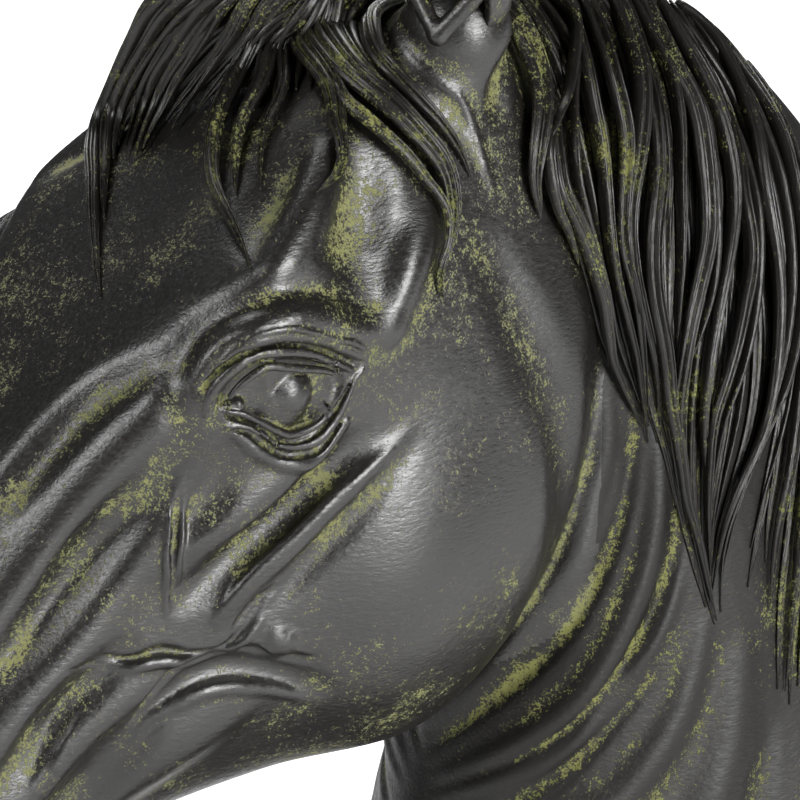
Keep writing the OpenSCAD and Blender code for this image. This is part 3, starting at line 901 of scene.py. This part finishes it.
def forelock(tree):
    tuft = Tuft(tree, 9)
    rng = tuft.rng
    last = len(FORELOCK) - 1
    layers = ((0.1, 12, 3.6, 1.3, 4), (0.55, 14, 3.0, 1.8, 4), (1.0, 16, 2.0, 1.8, 3))
    # Each layer is darkened with painted shade, the more the lower it lies
    for share, count, half, thick, strands in layers:
        for k in range(count):
            t = (k + rng.uniform(0.1, 0.9)) * last / count
            end = 30 - rng.integers(0, 4) - (3 if t < 0.5 else 6) - int(6 * (1 - share))
            tuft.lock(placed(between(FORELOCK, t)[:end]), half * rng.uniform(0.7, 1.2),
                      [0.3, 0.8, 1.0, 0.8, 0.4], thick=thick, strands=strands, rows=64, twist=0.25,
                      share=share, painted_shade=0.7 * (1 - share))
    for t, end, half in ((0.05, 30, 2.2), (0.5, 25, 2.4), (1.3, 22, 2.0)):
        tuft.lock(placed(between(FORELOCK, t)[:end]), half, [0.3, 1.2, 1.6, 1.2, 0.4],
                  thick=2.2, strands=4, rows=80, share=1.0, blunt=0.6)
    for line in FORELOCK_LOCKS:
        (half, rise, strands), points = parsed(line)
        tuft.lock(placed(points), half, [0.3, rise, rise, rise * 0.7, 0.4], thick=1.1 + half * 0.3,
                  strands=int(strands), rows=80, twist=0.15, blunt=0.6)
    return tuft.piece("forelock")


# ---------- ears ----------
EAR_LENGTH = 62
EAR_FACES = math.radians(-58)


def ear_half(f):
    """Half the ear's width at that share of its length."""
    return 1 + 10.8 * math.sin(math.pi * (0.3 + 0.7 * max(f, 0))) ** 0.8


def ear_middle(f):
    return EAR_ROOT + [5 * f + 4 * f * f, -8 * f - 6 * f * f, EAR_LENGTH * f]


def ear(bust_clay):
    """The left ear: a curled leaf with a rolled rim and hair in it, cut where it meets the head."""
    rings, arc = 60, 44
    leaf, rims = [], [[], []]
    for f in np.linspace(-0.12, 1, rings):
        half = ear_half(f) * (1 + 3.5 * min(f, 0))
        gap = math.radians(56 - 20 * max(f, 0))
        thick = 2.4 - 1.3 * f
        centre = ear_middle(f)
        turn = EAR_FACES + gap + (2 * math.pi - 2 * gap) * np.linspace(0, 1, arc)
        way = np.column_stack([np.cos(turn), 0.85 * np.sin(turn), np.zeros(arc)])
        leaf.append(centre + np.vstack([way[::-1] * half, way * max(half - thick, 0.2)]))
        for side, k in enumerate((0, -1)):
            rims[side].append(centre + way[k] * (half - 0.5 * thick))
    step = 0.5
    clay = Clay([4, -84, 318], [46, -30, 404], step).fill_from_skin(*closed_skin(np.array(leaf)), band=6)
    forward = np.array([math.cos(EAR_FACES), math.sin(EAR_FACES), 0])
    hollow = [forward * 7 + [0, 0, 1.5], forward * 6 + [1, -1, 12], forward * 3 + [3, -4, 26]]
    clay.tube(EAR_ROOT + np.array(hollow), np.array([5.0, 6.5, 4.0]), 1.5, cut=True)
    below = EAR_ROOT + forward * 9 + [0, 0, -3.5]
    for rim in rims:
        rim = curve(np.vstack([below, np.array(rim)[12:-2:6]]), 60)
        clay.tube(rim, np.linspace(1.8, 0.5, len(rim)), 0.8)
    for k in range(7):
        q = EAR_FACES + math.pi + 0.34 * (k - 3)
        inner = []
        for f in (0.06, 0.2, 0.38, 0.55):
            half = ear_half(f) - 2.4
            inner.append(ear_middle(f) + np.array([math.cos(q), 0.85 * math.sin(q), 0]) * half)
        clay.tube(curve(inner, 20), np.interp(np.linspace(0, 1, 20), [0, 0.5, 1], [1.0, 0.8, 0.2]), 0.5)
    inside = bust_clay.at(clay.places()).reshape(clay.shape)
    clay.d = np.maximum(clay.d, -inside - 0.4).astype(np.float32)
    return clay.mesh()


# ---------- materials ----------
class Nodes:
    """A short way to write a material's node tree."""

    def __init__(self, name):
        self.material = bpy.data.materials.new(name)
        self.material.use_nodes = True
        self.tree = self.material.node_tree
        self.shader = self.tree.nodes["Principled BSDF"]
        self.place = self.add("ShaderNodeTexCoord").outputs["Object"]

    def add(self, kind, inputs=(), **settings):
        node = self.tree.nodes.new(kind)
        for key, value in settings.items():
            setattr(node, key, value)
        for key, value in dict(inputs).items():
            self.join(node.inputs[key], value)
        return node

    def join(self, socket, value):
        if isinstance(value, bpy.types.NodeSocket):
            self.tree.links.new(value, socket)
        elif value is not None:
            socket.default_value = value

    def maths(self, operation, a, b=None, c=None, clamp=False):
        inputs = {k: v for k, v in enumerate((a, b, c)) if v is not None}
        return self.add("ShaderNodeMath", inputs, operation=operation, use_clamp=clamp).outputs[0]

    def noise(self, vector, scale, detail=3.0, rough=0.55):
        return self.add("ShaderNodeTexNoise", {"Vector": vector, "Scale": scale, "Detail": detail,
                                               "Roughness": rough}).outputs["Fac"]

    def stretched(self, vector, scale, rotation=(0, 0, 0)):
        inputs = {"Vector": vector, "Rotation": rotation, "Scale": scale}
        return self.add("ShaderNodeMapping", inputs).outputs[0]

    def ramp(self, value, low, high, out_low=0.0, out_high=1.0):
        node = self.add("ShaderNodeMapRange", {"Value": value, "From Min": low, "From Max": high,
                                               "To Min": out_low, "To Max": out_high},
                        interpolation_type="SMOOTHSTEP")
        return node.outputs["Result"]

    def mix(self, factor, a, b, kind="RGBA", first=6, output=2):
        """A mix of two colours."""
        node = self.add("ShaderNodeMix", {"Factor": factor}, data_type=kind)
        self.join(node.inputs[first], a)
        self.join(node.inputs[first + 1], b)
        return node.outputs[output]

    def blend(self, factor, a, b):
        """A mix of two numbers."""
        return self.mix(factor, a, b, "FLOAT", 2, 0)

    def attribute(self, name, output="Fac"):
        return self.add("ShaderNodeAttribute", attribute_name=name).outputs[output]

    def finish(self, colour, rough, height, metal=None, distance=0.0001):
        bump = self.add("ShaderNodeBump", {"Height": height, "Distance": distance, "Strength": 1.0})
        self.join(self.shader.inputs["Base Color"], colour)
        self.join(self.shader.inputs["Roughness"], rough)
        self.join(self.shader.inputs["Metallic"], metal)
        self.join(self.shader.inputs["Normal"], bump.outputs[0])
        return self.material


def bronze_material(name, hair=False, dull=0.0):
    """Dark bronze, with green-gold patina in its hollows and along its grooves, and for hair painted shade that
    darkens the locks lying low.
    """
    n = Nodes(name)
    if hair:
        grain = n.noise(n.stretched(n.attribute("flow", "Vector"), (1.0, 0.06, 1.0)), 3.0, 3.0, 0.6)
        hollow = n.attribute("groove")
    else:
        grain = n.noise(n.stretched(n.place, (1.0, 0.35, 1.0), (FACE_ANGLE, 0, 0)), 1500.0, 4.0, 0.6)
        hollow = n.attribute("hollow")
    fleck = n.noise(n.place, 2600.0, 2.0, 0.6)
    grit = n.noise(n.place, 750.0, 4.0, 0.65)
    patches = n.noise(n.place, 70.0, 3.0, 0.6)
    broad = n.noise(n.place, 16.0, 2.0, 0.5)
    speck = n.maths("MULTIPLY_ADD", fleck, 0.5, n.maths("MULTIPLY", grit, 0.5))
    wear = n.maths("MULTIPLY_ADD", patches, 0.42, n.maths("MULTIPLY_ADD", broad, 0.30, -0.36))
    amount = n.maths("MULTIPLY_ADD", hollow, 0.09, wear)
    green = n.ramp(n.maths("ADD", speck, amount), 0.565, 0.67)
    haze = n.ramp(n.maths("MULTIPLY_ADD", speck, 0.5, amount), 0.24, 0.48, 0.0, 0.75)
    dark = n.mix(broad, (0.004, 0.0036, 0.0032, 1), (0.011, 0.0098, 0.0085, 1))
    if hair:
        # Painted shade: the base colour goes nearly black on locks that lie low under others
        dark = n.mix(n.attribute("painted_shade"), dark, (0.004, 0.003, 0.002, 1))
    dusty = n.mix(haze, dark, (0.030, 0.027, 0.012, 1))
    patina = n.mix(patches, (0.055, 0.057, 0.014, 1), (0.20, 0.205, 0.058, 1))
    colour = n.mix(green, dusty, patina)
    rough = n.blend(green, n.blend(haze, n.ramp(grain, 0.3, 0.7, 0.27 + dull, 0.39 + dull), 0.55), 0.8)
    metal = n.blend(green, 0.12, 0.0)
    height = n.maths("MULTIPLY_ADD", green, 0.35, grain)
    n.shader.inputs["Specular IOR Level"].default_value = 0.5 if hair else 0.85 - 3 * dull
    return n.finish(colour, rough, height, metal, 0.00012)


def stone_material():
    """Black honed stone with fine grey grains and a few pale veins."""
    n = Nodes("honed_stone")
    grains = n.noise(n.place, 900.0, 3.0, 0.7)
    cloud = n.noise(n.place, 40.0, 4.0, 0.6)
    vein = n.maths("ABSOLUTE", n.maths("SUBTRACT", n.noise(n.place, 18.0, 5.0, 0.55), 0.5))
    base = n.mix(n.ramp(grains, 0.55, 0.75), (0.010, 0.010, 0.011, 1), (0.060, 0.060, 0.062, 1))
    clouded = n.mix(n.ramp(cloud, 0.4, 0.7, 0.0, 0.5), base, (0.030, 0.031, 0.033, 1))
    colour = n.mix(n.ramp(vein, 0.0, 0.006, 0.6, 0.0), clouded, (0.25, 0.25, 0.24, 1))
    return n.finish(colour, n.ramp(grains, 0.3, 0.7, 0.26, 0.38), grains, 0.0, 0.00002)


def felt_material():
    """Dark green felt: matted fibres."""
    n = Nodes("matted_felt")
    ways = [n.noise(n.stretched(n.place, scale), 2500.0, 3.0, 0.7)
            for scale in ((1.0, 0.2, 1.0), (0.2, 1.0, 1.0))]
    fibre = n.maths("MAXIMUM", *ways)
    colour = n.mix(n.ramp(fibre, 0.4, 0.75), (0.010, 0.022, 0.014, 1), (0.045, 0.085, 0.055, 1))
    return n.finish(colour, n.ramp(fibre, 0.4, 0.75, 0.98, 0.85), fibre, 0.0, 0.0003)


def steel_material():
    """Zinc-plated steel: turned lines and a little tarnish."""
    n = Nodes("plated_steel")
    lines = n.noise(n.stretched(n.place, (0.1, 0.1, 1.0)), 4000.0, 2.0, 0.5)
    stain = n.noise(n.place, 250.0, 4.0, 0.6)
    colour = n.mix(n.ramp(stain, 0.45, 0.7), (0.50, 0.51, 0.52, 1), (0.30, 0.29, 0.26, 1))
    return n.finish(colour, n.ramp(lines, 0.3, 0.7, 0.25, 0.42), lines, 1.0, 0.00003)


bust_mesh, bust_points = detailed(points, faces)
tree = BVHTree.FromPolygons([Vector(p) for p in points], faces.tolist())
loose = column(bust_mesh.loops, "vertex_index", 1, int)[:, 0]
totals = column(bust_mesh.polygons, "loop_total", 1, int)[:, 0]
starts = np.cumsum(totals) - totals
bust_faces = [loose[starts[totals == k][:, None] + np.arange(k)] for k in (3, 4)]
ends = np.unique(np.vstack([edges_of(f) for f in bust_faces if len(f)]), axis=0)
normals = column(bust_mesh.vertices, "normal")
near_mean = averaged(bust_points, ends, 12)
wide_mean = averaged(bust_points, ends, 60)
hollow = 1.2 * ((near_mean - bust_points) * normals).sum(1) + 0.5 * ((wide_mean - bust_points) * normals).sum(1)
hollow = np.clip(hollow * 2.5, -1, 1.3)


def within(polygon, y, z):
    """Which points lie in a polygon."""
    result = np.zeros(len(y), bool)
    for (y0, z0), (y1, z1) in zip(polygon, polygon[1:] + polygon[:1]):
        if z0 != z1:
            result ^= ((z0 > z) != (z1 > z)) & (y < (y1 - y0) * (z - z0) / (z1 - z0) + y0)
    return result


def loops_of(open_edges):
    """Directed open edges chained into loops."""
    following = dict(open_edges)
    while following:
        first, at = next(iter(following.items()))
        loop = [first]
        del following[first]
        while at != first and at in following:
            loop.append(at)
            at = following.pop(at)
        yield loop


def casting(name, node, wanted, material):
    """One closed casting: its share of the bust's faces, and a cap where it is welded."""
    kept = []
    for group in bust_faces:
        middle = bust_points[group].mean(1)
        kept.append(group[within(HEAD_SIDE, middle[:, 1], middle[:, 2]) == wanted])
    used = {(a, b) for group in kept for k in range(group.shape[1])
            for a, b in zip(group[:, k].tolist(), group[:, (k + 1) % group.shape[1]].tolist())}
    open_edges = [(a, b) for a, b in used if (b, a) not in used]
    weld = np.array(WELD, float)
    run = run_along(weld)
    sunk, caps = [], []
    for loop in loops_of(open_edges):
        flat = []
        inner = bust_points[loop] - CAP_DEPTH * normals[loop]
        first = len(bust_points) + sum(len(s) for s in sunk)
        sunk.append(inner)
        ring = np.arange(first, first + len(loop))
        onward = np.roll(loop, -1)
        caps += [np.column_stack([onward, loop, ring]), np.column_stack([onward, ring, np.roll(ring, -1)])]
        rim = set(zip(ring.tolist(), np.roll(ring, -1).tolist()))
        for v in inner:
            p = v[1:]
            along = np.clip(((p - weld[:-1]) * np.diff(weld, axis=0)).sum(1) / np.diff(run) ** 2, 0, 1)
            foot = weld[:-1] + along[:, None] * np.diff(weld, axis=0)
            k = int(np.argmin(np.linalg.norm(p - foot, axis=1)))
            flat.append(Vector((run[k] + along[k] * (run[k + 1] - run[k]), v[0], 0)))
        cap = ring[np.array([list(t) for t in tessellate_polygon([flat])])]
        same = sum((t[(k + 1) % 3], t[k]) in rim for t in cap.tolist() for k in range(3))
        caps.append(cap[:, ::-1] if same else cap)
    faces = [np.vstack([kept[0].reshape(-1, 3)] + caps), kept[1]]
    chosen = np.unique(np.concatenate([f.ravel() for f in faces]))
    extra = sum(len(s) for s in sunk)
    all_points = np.vstack([bust_points] + sunk)
    place = np.zeros(len(all_points), int)
    place[chosen] = np.arange(len(chosen))
    piece = mesh_from(name, all_points[chosen], *[place[f] for f in faces])
    all_normals = np.vstack([normals, np.zeros((extra, 3))])[chosen]
    piece.data.normals_split_custom_set_from_vertices(all_normals.tolist())
    give(piece, "hollow", np.r_[hollow, np.zeros(extra)][chosen])
    finish_piece(piece, material, "bronze", node)


CAP_DEPTH = 1.2
HEAD_SIDE = WELD + [[-300, 60], [-300, 400]]
bronze = bronze_material("bronze")
casting("head", "head_casting", True, bronze)
casting("neck", "neck_casting", False, bronze_material("bronze_neck", dull=0.14))
bronze_hair = bronze_material("bronze_hair", hair=True)
finish_piece(mane(tree), bronze_hair, "bronze", "mane_casting")
finish_piece(forelock(tree), bronze_hair, "bronze", "forelock_casting")
ear_points, ear_faces = ear(bust)
ear_edges = edges_of(ear_faces)
ear_hollow = 2 * (averaged(ear_points, ear_edges, 6) - ear_points)
for name, side in (("left_ear", 1), ("right_ear", -1)):
    piece = mesh_from(name + "_cast", ear_points * [side, 1, 1], ear_faces[:, ::side])
    ear_normals = np.array([v.normal for v in piece.data.vertices])
    give(piece, "hollow", (ear_hollow * [side, 1, 1] * ear_normals).sum(1))
    finish_piece(piece, bronze, "bronze", name)


for node, material in (("mounting_plate", bronze), ("plinth", stone_material()), ("felt_pad", felt_material())):
    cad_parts[node].material_slots[0].material = material
steel = steel_material()
for node in ("threaded_stud", "locating_pins", "stud_washer", "stud_nut"):
    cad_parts[node].material_slots[0].material = steel


# ---------- camera, light and floor ----------
BUST_MIDDLE = (0, -0.06, 0.25)
CAMERA_TURN, CAMERA_RISE = 57, 16
CAMERA_DISTANCE = 1.2
SENSOR_WIDTH, LENS = 36, 315.9


def way_to(turn, rise):
    """The direction at an azimuth and a height, in degrees; azimuth 0 is in front, 90 on the left."""
    t, r = math.radians(turn), math.radians(rise)
    return Vector((math.sin(t) * math.cos(r), -math.cos(t) * math.cos(r), math.sin(r)))


def camera():
    """A long lens, aimed a little to the right of the left eye and below it."""
    turn = math.radians(CAMERA_TURN)
    back = way_to(CAMERA_TURN, CAMERA_RISE)
    right = Vector((math.cos(turn), math.sin(turn), 0))
    up = back.cross(right)
    eye_point = Vector(placed([[69, 22, 41]])[0] * MM)
    place = eye_point + back * CAMERA_DISTANCE
    aim = eye_point + right * 0.0185 - up * 0.0014
    data = bpy.data.cameras.new("camera")
    data.sensor_width = SENSOR_WIDTH
    data.lens = LENS
    data.clip_start, data.clip_end = 0.05, 30
    camera = linked("camera", data)
    camera.location = place
    camera.rotation_euler = (aim - place).to_track_quat("-Z", "Y").to_euler()
    bpy.context.scene.camera = camera


def area_light(name, turn, rise, distance, size, power, aim=BUST_MIDDLE):
    """A soft box at an azimuth and a height, looking at a point."""
    data = bpy.data.lights.new(name, "AREA")
    data.shape = "RECTANGLE"
    data.size, data.size_y = size
    data.energy = power
    light = linked(name, data)
    light.location = Vector(BUST_MIDDLE) + way_to(turn, rise) * distance
    light.rotation_euler = (Vector(aim) - light.location).to_track_quat("-Z", "Y").to_euler()


camera()
area_light("side", 100, 15, 1.3, (0.5, 0.8), 24)
area_light("front", 5, 30, 1.4, (0.6, 0.6), 11)
area_light("behind", 237, 42, 1.9, (1.3, 1.3), 45, aim=(-1.15, 0.68, 0))
world = bpy.data.worlds.new("studio")
bpy.context.scene.world = world
world.use_nodes = True
world.node_tree.nodes["Background"].inputs[0].default_value = (0.95, 0.96, 1.0, 1)
world.node_tree.nodes["Background"].inputs[1].default_value = 0.08
floor_mesh = bpy.data.meshes.new("floor")
floor_mesh.from_pydata([(-8, -8, 0), (8, -8, 0), (8, 8, 0), (-8, 8, 0)], [], [(0, 1, 2, 3)])
floor = linked("floor", floor_mesh)
paper = bpy.data.materials.new("paper")
paper.use_nodes = True
for key, value in (("Base Color", (0.9, 0.9, 0.9, 1)), ("Roughness", 0.9),
                   ("Emission Color", (1, 1, 1, 1)), ("Emission Strength", 0.12)):
    paper.node_tree.nodes["Principled BSDF"].inputs[key].default_value = value
floor_mesh.materials.append(paper)
bpy.context.scene.view_settings.view_transform = "Standard"
